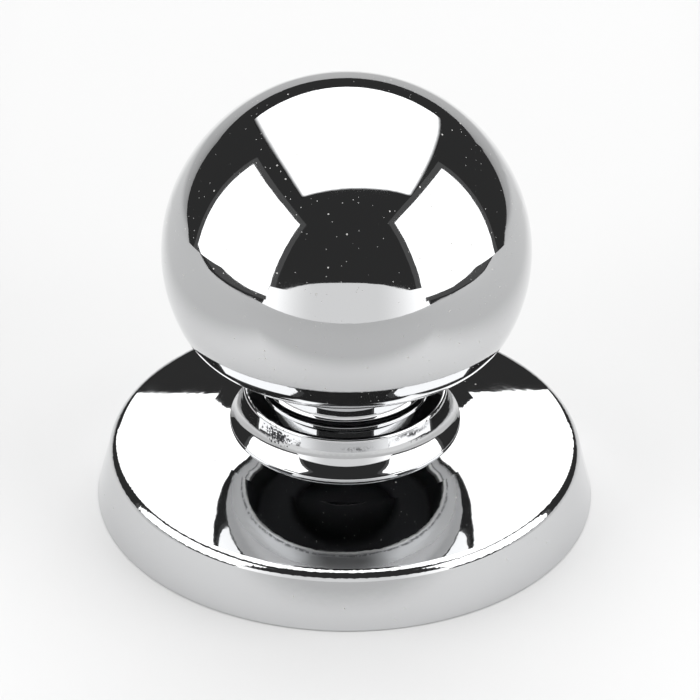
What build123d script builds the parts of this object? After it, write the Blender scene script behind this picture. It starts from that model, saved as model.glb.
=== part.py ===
from build123d import *
from math import atan2, cos, hypot, radians, sin, tan
import os

# A cabinet knob: a ball on a short neck and a stepped collar, whose round foot stands on a
# shallow conical backplate. Both are bodies of revolution about Z, the origin is the middle of
# the backplate's lower rim, and lengths are millimetres.

# Backplate, outside
plate_diameter = 38.1
skirt_draft = 13.2
shoulder_height = 4.52
shoulder_round = 0.95
seat_height = 6.77
seat_cove_width = 2.05
seat_cove_drop = 0.63
rim_round = 0.1

# Backplate, underneath
plate_wall = 1.7
boss_diameter = 9.0
boss_relief = 0.4
boss_root_round = 0.8
screw_hole_diameter = 4.5
hole_chamfer = 0.3

# Foot and collar of the knob
foot_diameter = 17.7
foot_overhang = 0.25
foot_edge_height = 0.23
foot_rim_round = 0.1
flange_width = 0.9
flange_rise = 0.77
flange_cove = 2.5
collar_draft = 3.0
collar_height = 3.2
collar_round = 0.3
least_collar_wall = 0.1
step_ledge = 0.7
step_height = 0.16
step_round = 0.06
step_cove = 0.6

# Neck, and the ring-shaped hollow that is cast round it into the underside of the ball
neck_diameter = 11.5
neck_height = 4.41
hollow_diameter = 19.9
hollow_depth = 6.0
hollow_draft = 3.0
hollow_corner = 0.8
hollow_lip_round = 0.15

# Ball
ball_diameter = 28.2
crown_height = 35.6
crown_angle = 21.0
turn_angle = 25.0
turn_radius = 4.0
underside_angle = 70.0

# Tapped hole in the foot
thread_diameter = 4.0
thread_depth = 14.0
drill_point_angle = 118.0
thread_mouth_chamfer = 0.4


def turned(section):
    """The body that a half section in the XZ plane sweeps about Z."""
    return revolve(Plane.XZ * section, Axis.Z)


def on_arc(centre, radius, elevation):
    """The point of an arc where its outward normal has this elevation in degrees."""
    angle = radians(elevation)
    return (centre[0] + radius * cos(angle), centre[1] + radius * sin(angle))


def hole(diameter, low, high):
    """A plain cutter along Z."""
    return Pos(0, 0, low) * Cylinder(
        diameter / 2, high - low, align=(Align.CENTER, Align.CENTER, Align.MIN)
    )


def countersink(diameter, depth, mouth):
    """A 90 degree cone that breaks the edge of a hole whose mouth, at this height, looks down."""
    return Pos(0, 0, mouth) * Cone(
        diameter / 2 + depth, diameter / 2, depth, align=(Align.CENTER, Align.CENTER, Align.MIN)
    )


def ring_edge(body, radius, height):
    """The circular edge of a body that lies nearest to this radius and height."""
    return body.edges().filter_by(GeomType.CIRCLE).sort_by(
        lambda edge: abs(edge.radius - radius) + abs(edge.center().Z - height)
    )[0]


def build_backplate():
    rim = plate_diameter / 2
    seat = foot_diameter / 2 - foot_overhang
    shoulder = rim - shoulder_height * tan(radians(skirt_draft))
    cove_end = (seat + seat_cove_width, seat_height - seat_cove_drop)

    # A straight cone runs in from the shoulder, and a shallow cove lifts it to the knob's seat.
    outside = Polyline((0, 0), (rim, 0), (shoulder, shoulder_height), cove_end)
    up_the_cone = (cove_end[0] - shoulder, cove_end[1] - shoulder_height)
    cove = TangentArc(cove_end, (seat, seat_height), tangent=up_the_cone)
    top = Polyline((seat, seat_height), (0, seat_height), (0, 0))
    body = turned(make_face(outside + cove + top))
    body = fillet(ring_edge(body, shoulder, shoulder_height), shoulder_round)

    # The underside is hollow: the cone and the skirt keep one wall all over.
    floor = body.faces().sort_by(Axis.Z)[0]
    body = offset(body, amount=-plate_wall, openings=floor)

    boss = hole(boss_diameter, boss_relief, seat_height - plate_wall / 2)
    body = body + boss
    root = ring_edge(body, boss_diameter / 2, seat_height - plate_wall)
    body = fillet(root, boss_root_round)
    rim_edges = body.edges().filter_by(GeomType.CIRCLE).group_by(Axis.Z)[0]
    body = fillet(rim_edges, rim_round)

    body = body - hole(screw_hole_diameter, 0, seat_height)
    body = body - countersink(screw_hole_diameter, hole_chamfer, boss_relief)
    return body


def ball_arcs(rise, waist):
    """Centre and radius of the ball's crown, side and turn, three arcs that meet smoothly. The
    ball is widest at the height of its waist, and the crown rises above that."""
    up = sin(radians(crown_angle))
    out = cos(radians(crown_angle))
    difference = (ball_diameter / 2 - rise) / (out + up - 1)
    side_radius = rise - difference * (1 - up)
    crown_radius = side_radius + difference
    crown_centre = (0, waist + rise - crown_radius)
    side_centre = (ball_diameter / 2 - side_radius, waist)
    turn_centre = on_arc(side_centre, side_radius - turn_radius, -turn_angle)
    return (crown_centre, crown_radius), (side_centre, side_radius), (turn_centre, turn_radius)


def underside(radius, rise):
    """How far below its waist the ball's sloping underside lies at this radius."""
    turn = ball_arcs(rise, 0)[2]
    turn_end = on_arc(*turn, -underside_angle)
    slope = tan(radians(90 - underside_angle))
    return (turn_end[0] - radius) * slope - turn_end[1]


def build_knob():
    neck = neck_diameter / 2
    hollow = hollow_diameter / 2
    step = neck + step_ledge
    edge_top = seat_height + foot_edge_height
    flange_top = edge_top + flange_rise
    collar_top = seat_height + collar_height
    foot = foot_diameter / 2
    collar_foot = foot - flange_width
    collar = collar_foot - (collar_top - flange_top) * tan(radians(collar_draft))
    step_top = collar_top + step_height
    lip = step_top + neck_height

    # The ball fills the height from the hollow's lip to the crown, which grows with its rise.
    least_height = underside(hollow, 0)
    growth = 1 + underside(hollow, 1) - underside(hollow, 0)
    rise = (crown_height - lip - least_height) / growth
    waist = crown_height - rise
    crown, side, turn = ball_arcs(rise, waist)
    crown_middle = on_arc(*crown, (90 + crown_angle) / 2)
    crown_end = on_arc(*crown, crown_angle)
    side_middle = on_arc(*side, 0)
    turn_start = on_arc(*turn, -turn_angle)
    turn_middle = on_arc(*turn, -(turn_angle + underside_angle) / 2)
    turn_end = on_arc(*turn, -underside_angle)
    neck_top = waist - underside(neck, rise)

    base = Polyline(
        (0, seat_height),
        (foot, seat_height),
        (foot, edge_top),
        (collar_foot, flange_top),
        (collar, collar_top),
        (step, collar_top),
        (step, step_top),
        (neck, step_top),
        (neck, neck_top),
        turn_end,
    )
    turn_line = ThreePointArc(turn_end, turn_middle, turn_start)
    side_line = ThreePointArc(turn_start, side_middle, crown_end)
    crown_line = ThreePointArc(crown_end, crown_middle, (0, crown_height))
    axis = Line((0, crown_height), (0, seat_height))
    body = turned(make_face(base + turn_line + side_line + crown_line + axis))

    # The hollow's outer wall leans in by its draft, and its inner wall is the neck itself.
    roof = lip + hollow_depth
    roof_edge = hollow - hollow_depth * tan(radians(hollow_draft))
    room = Polyline(
        (neck, step_top), (hollow, step_top), (hollow, lip), (roof_edge, roof), (neck, roof),
        close=True,
    )
    body = body - turned(make_face(room))

    # The cove between flange and collar is limited by the two walls that it has to end on.
    bend = atan2(flange_width, flange_rise) - radians(collar_draft)
    wall = collar_top - collar_round - flange_top - least_collar_wall
    flange = hypot(flange_width, flange_rise) - foot_rim_round
    cove = min(flange_cove, min(wall, flange) / tan(bend / 2))
    body = fillet(ring_edge(body, collar_foot, flange_top), cove)
    body = fillet(ring_edge(body, foot, edge_top), foot_rim_round)
    body = fillet(ring_edge(body, collar, collar_top), collar_round)
    body = fillet(ring_edge(body, step, step_top), step_round)
    body = fillet(ring_edge(body, neck, step_top), step_cove)
    body = fillet(ring_edge(body, neck, roof), hollow_corner)
    body = fillet(ring_edge(body, roof_edge, roof), hollow_corner)
    body = fillet(ring_edge(body, hollow, lip), hollow_lip_round)

    # The blind hole keeps the cone of its drill.
    hole_end = seat_height + thread_depth
    point_height = thread_diameter / 2 / tan(radians(drill_point_angle / 2))
    point = Pos(0, 0, hole_end) * Cone(
        thread_diameter / 2, 0, point_height, align=(Align.CENTER, Align.CENTER, Align.MIN)
    )
    body = body - hole(thread_diameter, seat_height, hole_end) - point
    body = body - countersink(thread_diameter, thread_mouth_chamfer, seat_height)
    return body


os.makedirs("parts", exist_ok=True)
export_step(build_backplate(), "parts/backplate.step")
export_step(build_knob(), "parts/knob.step")
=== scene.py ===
from math import cos, pi, radians, sin, tan

import bmesh
import bpy
from mathutils import Matrix, Vector


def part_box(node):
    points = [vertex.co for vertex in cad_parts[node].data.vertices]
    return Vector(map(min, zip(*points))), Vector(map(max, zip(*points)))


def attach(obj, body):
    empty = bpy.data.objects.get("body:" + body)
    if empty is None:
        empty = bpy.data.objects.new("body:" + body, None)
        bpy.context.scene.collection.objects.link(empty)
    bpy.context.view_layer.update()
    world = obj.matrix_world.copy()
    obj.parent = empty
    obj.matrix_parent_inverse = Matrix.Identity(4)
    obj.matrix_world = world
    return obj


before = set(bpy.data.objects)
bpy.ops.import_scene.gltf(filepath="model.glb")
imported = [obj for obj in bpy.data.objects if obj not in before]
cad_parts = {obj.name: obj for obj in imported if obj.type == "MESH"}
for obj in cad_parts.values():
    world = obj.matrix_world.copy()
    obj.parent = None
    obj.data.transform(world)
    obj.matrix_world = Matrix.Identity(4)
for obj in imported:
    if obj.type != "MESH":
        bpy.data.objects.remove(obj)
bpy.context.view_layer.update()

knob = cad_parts["knob"]
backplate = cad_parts["backplate"]
knob_low, knob_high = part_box("knob")
MM = 0.001

# The photograph: a long lens looks down on the knob from the front.
PHOTO_PIXELS = 700
PIXELS_PER_METRE = 12955.0
CAMERA_DISTANCE = 0.762
CAMERA_ELEVATION = radians(33.9)
CAMERA_ROLL = radians(0.5)
BASE_PIXEL = (345.7, 491.5)
SENSOR = 36.0

# The studio's cards, seen from the middle of the ball: azimuth 0 is towards the camera and
# positive to its right, elevation is above the level of the ball's middle. Degrees, and metres.
BALL_MIDDLE = Vector((0, 0, (knob_low.z + knob_high.z) / 2))
LEFT_SOFTBOX = [(-103, -2), (-116, 38), (-42, 46), (-47, 0)]
LEFT_FACING = (-69, 0)
RIGHT_SOFTBOX = [(101, -3), (114, 38), (44, 47), (46, 0)]
RIGHT_FACING = (67, 0)
SIDE_DISTANCE = 0.235
FRAME_BORDER = 5
FRAME_SETBACK = 1.02
TOP_SOFTBOX = [(-56.6, 58.9), (73.7, 52.0), (152, 15.2), (-150, 17.2)]
TOP_FACING = (180, 67.7)
TOP_DISTANCE = 0.26
TOP_SOFT_SIDES = 0.05
TOP_SOFT_END = 0.03
BOARD_DISTANCE = 0.175
BOARD_HALF_WIDTH = 50
BOARD_FOOT = -8
BOARD_TOP = 8
BOARD_ARCH = 10
ROOM_RADIUS = 3.0

# How brightly the studio's cards glow.
SOFTBOX_LIGHT = 2.2
BOARD_LIGHT = 0.95
BOARD_SIDE_LIGHT = 1.7
FRAME_LIGHT = 0.10
ROOM_LIGHT = 0.036

# The table, in metres, and the shades painted on its paper: behind the knob, painted paler round
# its front where the light is weaker, and painted shade further out and beyond the top of the
# picture.
TABLE_HALF_WIDTH = 0.21
TABLE_FRONT = -0.14
TABLE_FLAT_END = 0.14
TABLE_BACK = 0.32
TABLE_RISE = 0.036
PAPER = 0.69
PAPER_FRONT_PAINTED_LIGHT = 0.78
PAPER_FAR_PAINTED_SHADE = 0.55
PAPER_BEYOND_PAINTED_SHADE = 0.39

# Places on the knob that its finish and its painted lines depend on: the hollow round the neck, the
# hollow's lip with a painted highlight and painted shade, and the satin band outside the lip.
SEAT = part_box("backplate")[1].z
HOLLOW_RADIUS = 9.93 * MM
HOLLOW_ROOF = SEAT + 14.23 * MM
LIP_HEIGHT = SEAT + 7.77 * MM
LIP_TOP = SEAT + 8.63 * MM
SATIN_TOP = SEAT + 8.73 * MM
CLEAN_BELOW = SEAT + 9.13 * MM

# Flaws in the plating of the collar's front: how far across and up the middle of each lies, and
# how far it reaches either way.
PITS_MIDDLE = (-5.2 * MM, SEAT + 2.33 * MM)
PITS_REACH = (1.9 * MM, 1.1 * MM)
SCRATCH_MIDDLE = (5.1 * MM, SEAT + 2.68 * MM)
SCRATCH_REACH = (1.7 * MM, 0.34 * MM)
MARKS_MIDDLE = (0.9 * MM, SEAT + 2.33 * MM)
MARKS_REACH = (1.6 * MM, 0.3 * MM)

# The inside of the backplate: its cone and its skirt as straight lines of the half section.
CONE_SLOPE = 0.2207
CONE_INSIDE = 7.69 * MM
SKIRT_SLOPE = 0.2345
SKIRT_INSIDE = 18.2 * MM

# The M4 thread in the knob's foot.
THREAD_PITCH = 0.7 * MM
THREAD_WALL = 2.005 * MM
THREAD_CREST = 1.62 * MM
THREAD_LOW = SEAT + 0.45 * MM
THREAD_HIGH = SEAT + 13.6 * MM
THREAD_SEGMENTS = 40

# Colours and roughnesses.
CHROMIUM = (0.65, 0.655, 0.662, 1)
# Near black, the colour of the hollow round the neck.
HOLLOW_NEAR_BLACK = (0.055, 0.055, 0.06, 1)
TAPPED_ZINC = (0.48, 0.48, 0.49, 1)
# A painted highlight on the lip's pale line.
LIP_PAINTED_HIGHLIGHT = (0.92, 0.92, 0.90, 1)
# The dark of the plating's pits and marks, and also the painted shade of the line outside the lip.
PIT_AND_PAINTED_SHADE = (0.06, 0.06, 0.065, 1)
DUST = (0.62, 0.61, 0.59, 1)
WHITE = (1, 1, 1, 1)
POLISH = (0.02, 0.045)
SATIN = 0.30
CAST = 0.32
WORN = 0.6
DUSTY = 0.7


def toward(azimuth, elevation):
    """The unit vector that leaves the ball's middle in this direction."""
    a = radians(azimuth)
    e = radians(elevation)
    return Vector((sin(a) * cos(e), -cos(a) * cos(e), sin(e)))


def on_plane(ray, facing, distance):
    """Where a ray from the ball's middle meets a plane that faces the ball."""
    normal = toward(*facing)
    return BALL_MIDDLE + ray * (distance / ray.dot(normal))


def link(name, mesh):
    made = bpy.data.objects.new(name, mesh)
    bpy.context.scene.collection.objects.link(made)
    return made


def mesh_object(name, vertices, faces):
    mesh = bpy.data.meshes.new(name)
    mesh.from_pydata([tuple(v) for v in vertices], [], faces)
    mesh.update()
    return link(name, mesh)


def polygon(name, points):
    return mesh_object(name, points, [tuple(range(len(points)))])


class Graph:
    """The nodes of one material, with short ways to compute on a point of the surface."""

    def __init__(self, name):
        self.material = bpy.data.materials.new(name)
        self.material.use_nodes = True
        self.nodes = self.material.node_tree.nodes
        self.links = self.material.node_tree.links
        self.nodes.clear()
        self.output = self.nodes.new("ShaderNodeOutputMaterial")

    def put(self, socket, value):
        """Link a socket to another one's output, or set it to a plain value."""
        if hasattr(value, "is_output"):
            self.links.new(value, socket)
        else:
            socket.default_value = value

    def finish(self, shader):
        self.links.new(shader, self.output.inputs["Surface"])

    def math(self, operation, *values):
        node = self.nodes.new("ShaderNodeMath")
        node.operation = operation
        for socket, value in zip(node.inputs, values):
            self.put(socket, value)
        return node.outputs[0]

    def split(self, vector):
        node = self.nodes.new("ShaderNodeSeparateXYZ")
        self.links.new(vector, node.inputs[0])
        return node.outputs["X"], node.outputs["Y"], node.outputs["Z"]

    def coordinates(self, kind):
        return self.nodes.new("ShaderNodeTexCoord").outputs[kind]

    def place(self):
        """The point on the object, and its coordinates."""
        point = self.coordinates("Object")
        return point, *self.split(point)

    def radius(self, x, y):
        squares = self.math("ADD", self.math("MULTIPLY", x, x), self.math("MULTIPLY", y, y))
        return self.math("SQRT", squares)

    def ramp(self, value, low, high, at_low=0.0, at_high=1.0):
        """A smooth change between two values. It falls as well where low is above high."""
        node = self.nodes.new("ShaderNodeMapRange")
        node.interpolation_type = "SMOOTHSTEP"
        self.put(node.inputs["Value"], value)
        node.inputs["From Min"].default_value = low
        node.inputs["From Max"].default_value = high
        node.inputs["To Min"].default_value = at_low
        node.inputs["To Max"].default_value = at_high
        return node.outputs[0]

    def near(self, value, middle, reach):
        """One at the middle, falling to zero at the reach on either side."""
        away = self.math("ABSOLUTE", self.math("SUBTRACT", value, middle))
        return self.ramp(away, 0.0, reach, 1.0, 0.0)

    def every(self, *masks):
        """One where all the masks are one."""
        result = masks[0]
        for mask in masks[1:]:
            result = self.math("MULTIPLY", result, mask)
        return result

    def either(self, a, b):
        """One where either mask is one."""
        return self.math("MAXIMUM", a, b)

    def weaker(self, mask, strength):
        return self.math("MULTIPLY", mask, strength)

    def noise(self, point, scale, detail=2.0, roughness=0.5):
        node = self.nodes.new("ShaderNodeTexNoise")
        self.links.new(point, node.inputs["Vector"])
        node.inputs["Scale"].default_value = scale
        node.inputs["Detail"].default_value = detail
        node.inputs["Roughness"].default_value = roughness
        return node.outputs["Fac"]

    def specks(self, point, scale, size, share):
        """Round specks in a share of the cells of this scale."""
        node = self.nodes.new("ShaderNodeTexVoronoi")
        self.links.new(point, node.inputs["Vector"])
        node.inputs["Scale"].default_value = scale
        split = self.nodes.new("ShaderNodeSeparateColor")
        self.links.new(node.outputs["Color"], split.inputs[0])
        kept = self.math("LESS_THAN", split.outputs[0], share)
        spot = self.ramp(node.outputs["Distance"], size * 0.6, size, 1.0, 0.0)
        return self.math("MULTIPLY", kept, spot)

    def blend(self, factor, a, b):
        """Between two colours, where the second is written as one, or two numbers."""
        node = self.nodes.new("ShaderNodeMix")
        colour = isinstance(b, tuple)
        node.data_type = "RGBA" if colour else "FLOAT"
        first, second, out = (6, 7, 2) if colour else (2, 3, 0)
        self.put(node.inputs[0], factor)
        self.put(node.inputs[first], a)
        self.put(node.inputs[second], b)
        return node.outputs[out]

    def bump(self, height, distance, after):
        """The normal that this height gives, on top of an earlier one where there is one."""
        node = self.nodes.new("ShaderNodeBump")
        node.inputs["Distance"].default_value = distance
        self.links.new(height, node.inputs["Height"])
        if after is not None:
            self.links.new(after, node.inputs["Normal"])
        return node.outputs["Normal"]


def glow_on(made, strength):
    """Make a studio piece glow. It shows in reflections only."""
    graph = Graph(made.name)
    glow = graph.nodes.new("ShaderNodeEmission")
    glow.inputs["Strength"].default_value = strength
    graph.finish(glow.outputs["Emission"])
    made.data.materials.append(graph.material)
    made.visible_camera = False
    made.visible_shadow = False
    return graph, glow.inputs["Strength"]


def card(name, corners, facing, distance):
    """A flat card of the studio, given by its corners' directions."""
    return polygon(name, [on_plane(toward(*corner), facing, distance) for corner in corners])


def softbox(name, corners, facing):
    """A lit card beside the camera, with a dark grey frame a little behind it."""
    glow_on(card(name, corners, facing, SIDE_DISTANCE), SOFTBOX_LIGHT)
    middle = sum((toward(*corner) for corner in corners), Vector()).normalized()
    border = tan(radians(FRAME_BORDER))
    points = []
    for corner in corners:
        ray = toward(*corner)
        away = (ray - middle * ray.dot(middle)).normalized()
        turned = (ray + away * border).normalized()
        points.append(on_plane(turned, facing, SIDE_DISTANCE * FRAME_SETBACK))
    glow_on(polygon(name + "_frame", points), FRAME_LIGHT)


def top_softbox():
    """The softbox above. Its cloth is dimmer near its sides and its front end."""
    made = card("top_softbox", TOP_SOFTBOX, TOP_FACING, TOP_DISTANCE)
    graph, strength = glow_on(made, SOFTBOX_LIGHT)
    cloth = made.data.uv_layers.new(name="cloth")
    for loop, uv in zip(cloth.data, ((0, 0), (1, 0), (1, 1), (0, 1))):
        loop.uv = uv
    across, along, _ = graph.split(graph.coordinates("UV"))
    off_middle = graph.math("ABSOLUTE", graph.math("SUBTRACT", across, 0.5))
    side = graph.ramp(off_middle, 0.5 - TOP_SOFT_SIDES, 0.5, 1.0, 0.0)
    end = graph.ramp(along, 0.0, TOP_SOFT_END)
    graph.put(strength, graph.weaker(graph.every(side, end), SOFTBOX_LIGHT))


def front_board():
    """A grey board under the camera, with an arched top. It hides the softboxes' lower corners. It
    is
    no lamp: its grey is a painted glow, with painted light paler towards its sides, which the
    softboxes light."""
    foot = [(BOARD_HALF_WIDTH, BOARD_FOOT), (-BOARD_HALF_WIDTH, BOARD_FOOT)]
    arch = [(a, BOARD_TOP + BOARD_ARCH * cos(radians(a * 2))) for a in range(-45, 46, 5)]
    made = card("front_board", foot + arch, (0, 0), BOARD_DISTANCE)
    graph, strength = glow_on(made, BOARD_LIGHT)
    across = graph.math("ABSOLUTE", graph.place()[1])
    # Painted light: the board's glow grows brighter towards its sides.
    graph.put(strength, graph.ramp(across, 0.05, 0.19, BOARD_LIGHT, BOARD_SIDE_LIGHT))


def dark_room():
    sphere = bmesh.new()
    bmesh.ops.create_icosphere(sphere, subdivisions=4, radius=ROOM_RADIUS)
    mesh = bpy.data.meshes.new("room")
    sphere.to_mesh(mesh)
    sphere.free()
    glow_on(link("room", mesh), ROOM_LIGHT)


def paper():
    """Pale paper, painted paler round its front where the light is weaker so that it reads evenly
    in the picture, and painted shade on the darker surround that the knob mirrors.
    """
    graph = Graph("table_paper")
    x, y = graph.place()[1:3]
    # Painted shade: the paper is darker beside the knob, in front of it and beyond the top of the
    # picture.
    beside = graph.ramp(graph.math("ABSOLUTE", x), 0.026, 0.050)
    in_front = graph.ramp(y, -0.043, -0.027, 1.0, 0.0)
    beyond = graph.ramp(y, 0.085, 0.130)
    # Painted light: the paper is paler round the knob's front, where the light is weaker.
    near = graph.ramp(y, -0.010, 0.030, PAPER_FRONT_PAINTED_LIGHT, PAPER)
    shade = graph.blend(graph.either(beside, in_front), near, PAPER_FAR_PAINTED_SHADE)
    shade = graph.blend(beyond, shade, PAPER_BEYOND_PAINTED_SHADE)
    colour = graph.nodes.new("ShaderNodeCombineColor")
    for socket in colour.inputs:
        graph.links.new(shade, socket)
    diffuse = graph.nodes.new("ShaderNodeBsdfDiffuse")
    graph.links.new(colour.outputs[0], diffuse.inputs["Color"])
    graph.finish(diffuse.outputs["BSDF"])
    return graph.material


def build_table():
    """The pale table, flat under the knob and swept up a little behind it."""
    steps = 24
    rows = [(TABLE_FRONT, 0.0), (TABLE_FLAT_END, 0.0)]
    for i in range(1, steps + 1):
        t = i / steps
        rows.append((TABLE_FLAT_END + (TABLE_BACK - TABLE_FLAT_END) * t, TABLE_RISE * t * t))
    vertices = []
    for y, z in rows:
        vertices += [(-TABLE_HALF_WIDTH, y, z), (TABLE_HALF_WIDTH, y, z)]
    faces = [(2 * i, 2 * i + 1, 2 * i + 3, 2 * i + 2) for i in range(len(rows) - 1)]
    table = mesh_object("table", vertices, faces)
    for face in table.data.polygons:
        face.use_smooth = True
    table.data.materials.append(paper())


def build_world():
    """A plain white backdrop beyond the table's edge."""
    world = bpy.data.worlds.new("backdrop")
    bpy.context.scene.world = world
    world.use_nodes = True
    background = world.node_tree.nodes["Background"]
    background.inputs["Color"].default_value = WHITE
    background.inputs["Strength"].default_value = 1.0


def metal(graph, colour, metallic, roughness, heights):
    """A metal surface with these looks, and with bumps given as (height, distance)."""
    surface = graph.nodes.new("ShaderNodeBsdfPrincipled")
    graph.put(surface.inputs["Base Color"], colour)
    graph.put(surface.inputs["Metallic"], metallic)
    graph.put(surface.inputs["Roughness"], roughness)
    normal = None
    for height, distance in heights:
        normal = graph.bump(height, distance, normal)
    graph.links.new(normal, surface.inputs["Normal"])
    graph.finish(surface.outputs["BSDF"])
    return graph.material


def waves(graph, point, fine):
    """What hand polishing leaves: a slow unevenness and a finer one of this height."""
    return [(graph.noise(point, 260, 1.0), 0.8e-5), (graph.noise(point, 1500, 1.0), fine)]


def polish(graph, point):
    """The roughness of polished chromium, a little hazier in places."""
    return graph.ramp(graph.noise(point, 420, 3.0), 0.35, 0.7, *POLISH)


def backplate_inside(graph, r, z):
    """The mask of the underside, below the cone and within the skirt."""
    under_cone = graph.math("ADD", z, graph.weaker(r, CONE_SLOPE))
    in_skirt = graph.math("ADD", r, graph.weaker(z, SKIRT_SLOPE))
    return graph.every(
        graph.ramp(under_cone, CONE_INSIDE, CONE_INSIDE - 0.05 * MM),
        graph.ramp(in_skirt, SKIRT_INSIDE, SKIRT_INSIDE - 0.1 * MM),
    )


def backplate_chromium():
    graph = Graph("backplate_chromium")
    point, x, y, z = graph.place()
    dust = graph.specks(point, 1300, 0.10, 0.12)
    inside = backplate_inside(graph, graph.radius(x, y), z)
    colour = graph.blend(dust, CHROMIUM, DUST)
    rough = graph.blend(dust, polish(graph, point), DUSTY)
    rough = graph.blend(inside, rough, CAST)
    metallic = graph.math("SUBTRACT", 1.0, dust)
    return metal(graph, colour, metallic, rough, waves(graph, point, 1.8e-6))


def hollow_masks(graph, r, z):
    """The hollow round the neck, and the satin band outside its lip."""
    above_collar = graph.ramp(z, LIP_HEIGHT - 0.4 * MM, LIP_HEIGHT - 0.2 * MM)
    hollow = graph.every(
        graph.ramp(r, HOLLOW_RADIUS + 0.02 * MM, HOLLOW_RADIUS - 0.03 * MM),
        graph.ramp(z, LIP_HEIGHT + 0.05 * MM, LIP_HEIGHT + 0.20 * MM),
        graph.ramp(z, HOLLOW_ROOF, HOLLOW_ROOF + 0.1 * MM, 1.0, 0.0),
    )
    satin = graph.every(
        graph.ramp(z, SATIN_TOP, SATIN_TOP - 0.55 * MM),
        above_collar,
        graph.ramp(r, HOLLOW_RADIUS - 0.5 * MM, HOLLOW_RADIUS),
    )
    at_lip = graph.every(graph.ramp(z, LIP_TOP, LIP_TOP - 0.2 * MM), above_collar)
    return hollow, satin, at_lip


def lip_lines(graph, r, at_lip, ragged):
    """Two frayed lines round the lip: a painted highlight, and a dark line of painted shade outside
    it.
    """
    light = graph.every(
        at_lip,
        graph.near(r, HOLLOW_RADIUS + 0.10 * MM, 0.20 * MM),
        graph.ramp(ragged, 0.30, 0.50),
    )
    dark = graph.every(
        at_lip,
        graph.near(r, HOLLOW_RADIUS + 0.38 * MM, 0.14 * MM),
        graph.ramp(ragged, 0.36, 0.52),
    )
    return light, dark


def plating_flaws(graph, point, x, y, z):
    """Flaws in the collar's plating: a cluster of pits on the left, a scratch on the right, and
    a few small marks between them."""
    pits = graph.noise(point, 5200, 2.0, 0.6)
    in_front = graph.ramp(y, -4.0 * MM, -4.4 * MM)
    about = graph.every(
        graph.near(x, PITS_MIDDLE[0], PITS_REACH[0]),
        graph.near(z, PITS_MIDDLE[1], PITS_REACH[1]),
        in_front,
    )
    thick = graph.math("ADD", pits, graph.weaker(about, 0.30))
    cluster = graph.every(graph.ramp(thick, 0.68, 0.72), graph.ramp(about, 0.0, 0.2))

    wander = graph.math("SUBTRACT", graph.noise(point, 900), 0.5)
    height = graph.math("ADD", z, graph.weaker(wander, 0.9 * MM))
    scratch = graph.every(
        graph.near(height, SCRATCH_MIDDLE[1], SCRATCH_REACH[1]),
        graph.near(x, SCRATCH_MIDDLE[0], SCRATCH_REACH[0]),
        in_front,
        graph.ramp(pits, 0.38, 0.48),
    )
    marks = graph.every(
        graph.near(z, MARKS_MIDDLE[1], MARKS_REACH[1]),
        graph.near(x, MARKS_MIDDLE[0], MARKS_REACH[0]),
        graph.ramp(y, -7.0 * MM, -7.2 * MM),
        graph.ramp(pits, 0.50, 0.56, 0.0, 0.7),
    )
    return graph.either(cluster, graph.either(scratch, marks))


def ball_dust(graph, point, z):
    """Coarse specks of dust and fainter fine ones, on the ball only."""
    coarse = graph.specks(point, 1300, 0.11, 0.3)
    fine = graph.weaker(graph.specks(point, 2600, 0.14, 0.3), 0.45)
    on_ball = graph.ramp(z, CLEAN_BELOW, CLEAN_BELOW + 0.3 * MM)
    return graph.every(graph.either(coarse, fine), on_ball)


def knob_chromium():
    graph = Graph("knob_chromium")
    point, x, y, z = graph.place()
    r = graph.radius(x, y)
    ragged = graph.noise(point, 2600, 3.0, 0.7)
    hollow, satin, at_lip = hollow_masks(graph, r, z)
    painted_lip_highlight, painted_lip_shade = lip_lines(graph, r, at_lip, ragged)
    flaws = plating_flaws(graph, point, x, y, z)
    # Real plating flaws, together with the painted shade of the dark line outside the lip.
    flaws_and_painted_shade = graph.either(flaws, graph.weaker(painted_lip_shade, 0.75))
    dust = ball_dust(graph, point, z)

    colour = graph.blend(flaws_and_painted_shade, CHROMIUM, PIT_AND_PAINTED_SHADE)
    # The hollow round the neck is coloured near black.
    colour = graph.blend(hollow, colour, HOLLOW_NEAR_BLACK)
    # Painted highlight: the lip's pale, less metallic line.
    colour = graph.blend(painted_lip_highlight, colour, LIP_PAINTED_HIGHLIGHT)
    colour = graph.blend(dust, colour, DUST)
    rough = graph.blend(satin, polish(graph, point), SATIN)
    rough = graph.blend(graph.either(flaws_and_painted_shade, hollow), rough, WORN)
    rough = graph.blend(dust, rough, DUSTY)
    dull = graph.either(dust, graph.weaker(hollow, 0.4))
    dull = graph.either(dull, graph.weaker(painted_lip_highlight, 0.5))
    metallic = graph.math("SUBTRACT", 1.0, dull)
    lip_edge = graph.every(ragged, at_lip, graph.near(r, HOLLOW_RADIUS, 0.5 * MM))
    heights = waves(graph, point, 0.9e-6) + [(lip_edge, 2.0e-5)]
    return metal(graph, colour, metallic, rough, heights)


def tapped_zinc():
    graph = Graph("thread_zinc")
    grain = graph.noise(graph.place()[0], 3000, 3.0)
    rough = graph.ramp(grain, 0.3, 0.7, 0.3, 0.5)
    return metal(graph, TAPPED_ZINC, 1.0, rough, [(grain, 2.0e-6)])


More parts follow.
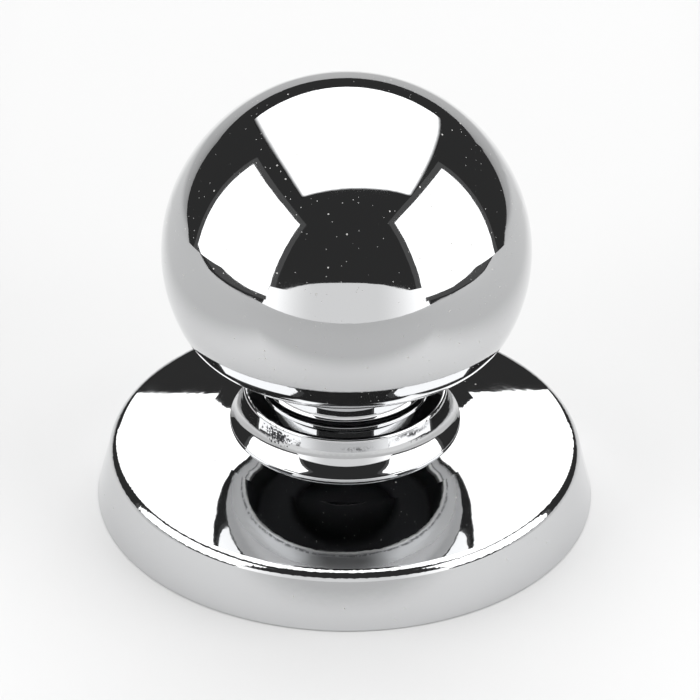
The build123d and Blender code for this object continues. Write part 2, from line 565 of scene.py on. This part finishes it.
def build_thread():
    """The ridge of the tapped thread, wound up the wall of the knob's hole."""
    root = 0.44
    flat = 0.07
    section = (
        (THREAD_WALL, -root), (THREAD_CREST, -flat), (THREAD_CREST, flat), (THREAD_WALL, root),
    )
    steps = int((THREAD_HIGH - THREAD_LOW) / THREAD_PITCH * THREAD_SEGMENTS)
    vertices = []
    for i in range(steps + 1):
        turns = i / THREAD_SEGMENTS
        angle = 2 * pi * turns
        for radius, share in section:
            z = THREAD_LOW + (turns + share) * THREAD_PITCH
            vertices.append((radius * cos(angle), radius * sin(angle), z))
    faces = []
    n = len(section)
    for i in range(steps):
        for k in range(n - 1):
            a = i * n + k
            faces.append((a, a + 1, a + n + 1, a + n))
    faces += [tuple(reversed(range(n))), tuple(range(steps * n, steps * n + n))]
    ridge = mesh_object("tapped_thread", vertices, faces)
    ridge.data.materials.append(tapped_zinc())
    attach(ridge, "root")


def dress(node, material):
    node.data.materials.clear()
    node.data.materials.append(material)


def build_camera():
    """The camera's aim puts the middle of the base at its pixel in the photograph."""
    data = bpy.data.cameras.new("camera")
    data.sensor_width = SENSOR
    data.lens = SENSOR * CAMERA_DISTANCE * PIXELS_PER_METRE / PHOTO_PIXELS
    data.clip_start = 0.01
    data.clip_end = 20
    camera = link("camera", data)
    right = Vector((1, 0, 0))
    back = Vector((0, -cos(CAMERA_ELEVATION), sin(CAMERA_ELEVATION)))
    up = back.cross(right)
    across = (PHOTO_PIXELS / 2 - BASE_PIXEL[0]) / PIXELS_PER_METRE
    above = (BASE_PIXEL[1] - PHOTO_PIXELS / 2) / PIXELS_PER_METRE
    camera.location = back * CAMERA_DISTANCE
    target = right * across + up * above
    look = (camera.location - target).to_track_quat("Z", "Y")
    camera.rotation_mode = "QUATERNION"
    camera.rotation_quaternion = look @ Matrix.Rotation(CAMERA_ROLL, 4, "Z").to_quaternion()
    bpy.context.scene.camera = camera


build_world()
build_table()
softbox("left_softbox", LEFT_SOFTBOX, LEFT_FACING)
softbox("right_softbox", RIGHT_SOFTBOX, RIGHT_FACING)
top_softbox()
front_board()
dark_room()
dress(knob, knob_chromium())
dress(backplate, backplate_chromium())
build_thread()
build_camera()
bpy.context.scene.view_settings.view_transform = "Standard"
